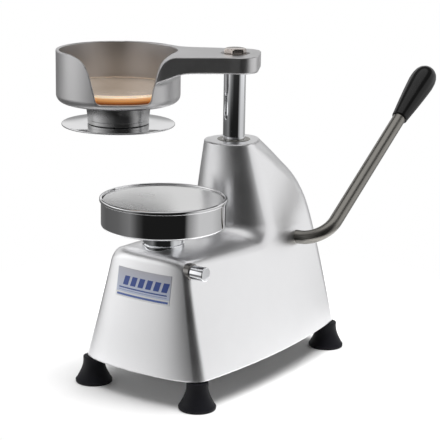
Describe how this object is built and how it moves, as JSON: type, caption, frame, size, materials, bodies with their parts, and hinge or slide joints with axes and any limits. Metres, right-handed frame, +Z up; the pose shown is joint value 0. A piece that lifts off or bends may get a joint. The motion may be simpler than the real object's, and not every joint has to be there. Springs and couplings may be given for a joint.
{
  "type": "patty press",
  "caption": "Hand-lever hamburger patty press: cast aluminium body, swing-aside press head with film-disc cup, round bowl with ejector plate, and a bent side lever with a black knob.",
  "frame": {"origin": "centre of the press's bounding box in X and Y, at table level under the rubber feet", "axes": "+X towards the lever side, +Y towards the rear of the press (the bowl is at the -Y end), +Z up"},
  "size_m": [0.2242, 0.3798, 0.276],
  "materials": {
    "cast_aluminium": "satin polished casting",
    "turned_aluminium": "turned, semi-bright",
    "polished_stainless": "polished bright",
    "chrome": "mirror bright",
    "satin_steel": "satin",
    "zinc_steel": "zinc plated",
    "bronze": "machined bearing bronze",
    "spring_steel": "oiled spring steel",
    "black_rubber": "matt",
    "black_plastic": "gloss",
    "film": "waxed translucent film",
    "label_foil": "satin foil"
  },
  "bodies": {
    "housing": {"housing_casting": "cast_aluminium", "name_label": "label_foil", "foot_front_right": "black_rubber", "foot_front_left": "black_rubber", "foot_rear_right": "black_rubber", "foot_rear_left": "black_rubber", "upper_column_bush": "bronze", "lower_column_bush": "bronze", "right_shaft_bush": "bronze", "left_shaft_bush": "bronze", "lock_pin_bush": "zinc_steel", "bowl": "polished_stainless", "bowl_collar": "chrome", "stem_bush": "bronze", "ejector_spring": "spring_steel"},
    "lever": {"lever_rod": "satin_steel", "lever_knob": "black_plastic", "crank_fork": "zinc_steel", "fork_roll_pin": "spring_steel"},
    "lift_carriage": {"lift_block": "zinc_steel"},
    "swing_head": {"column": "chrome", "lower_circlip": "spring_steel", "upper_circlip": "spring_steel", "column_bolt": "satin_steel", "arm_and_cup_casting": "cast_aluminium", "press_neck": "turned_aluminium", "press_plate": "polished_stainless", "plate_screw": "polished_stainless", "neck_screw_1": "zinc_steel", "neck_screw_2": "zinc_steel", "neck_screw_3": "zinc_steel", "film_disc_stack": "film"},
    "ejector": {"ejector_plate": "polished_stainless", "ejector_stem": "zinc_steel", "ejector_bar": "zinc_steel", "ejector_nut": "zinc_steel", "ejector_stem_collar": "zinc_steel"},
    "lock_pin": {"lock_pin": "chrome"}
  },
  "joints": [
    {"name": "lever_hinge", "type": "hinge", "parent": "housing", "child": "lever", "pos_m": [0, 0.0024, 0.1086], "axis": [1, 0, 0], "range_deg": [0, 67.93]},
    {"name": "lift_slide", "type": "slide", "parent": "housing", "child": "lift_carriage", "axis": [0, 0, -1], "range_m": [0, 0.0521]},
    {"name": "arm_swing", "type": "hinge", "parent": "lift_carriage", "child": "swing_head", "pos_m": [0.0301, -0.0362, 0.2], "axis": [0, 0, 1], "range_deg": [-29, 61]},
    {"name": "ejector_slide", "type": "slide", "parent": "housing", "child": "ejector", "axis": [0, 0, -1], "range_m": [0, 0.0171], "deforming": ["ejector_spring"]},
    {"name": "pin_pull", "type": "slide", "parent": "housing", "child": "lock_pin", "axis": [1, 0, 0], "range_m": [0, 0.01]}
  ],
  "couplings": [
    {"joint": "lift_slide", "follows": "lever_hinge", "m_per_rad": 0.04386},
    {"joint": "ejector_slide", "follows": "lever_hinge", "m_per_rad": 0.014339}
  ]
}
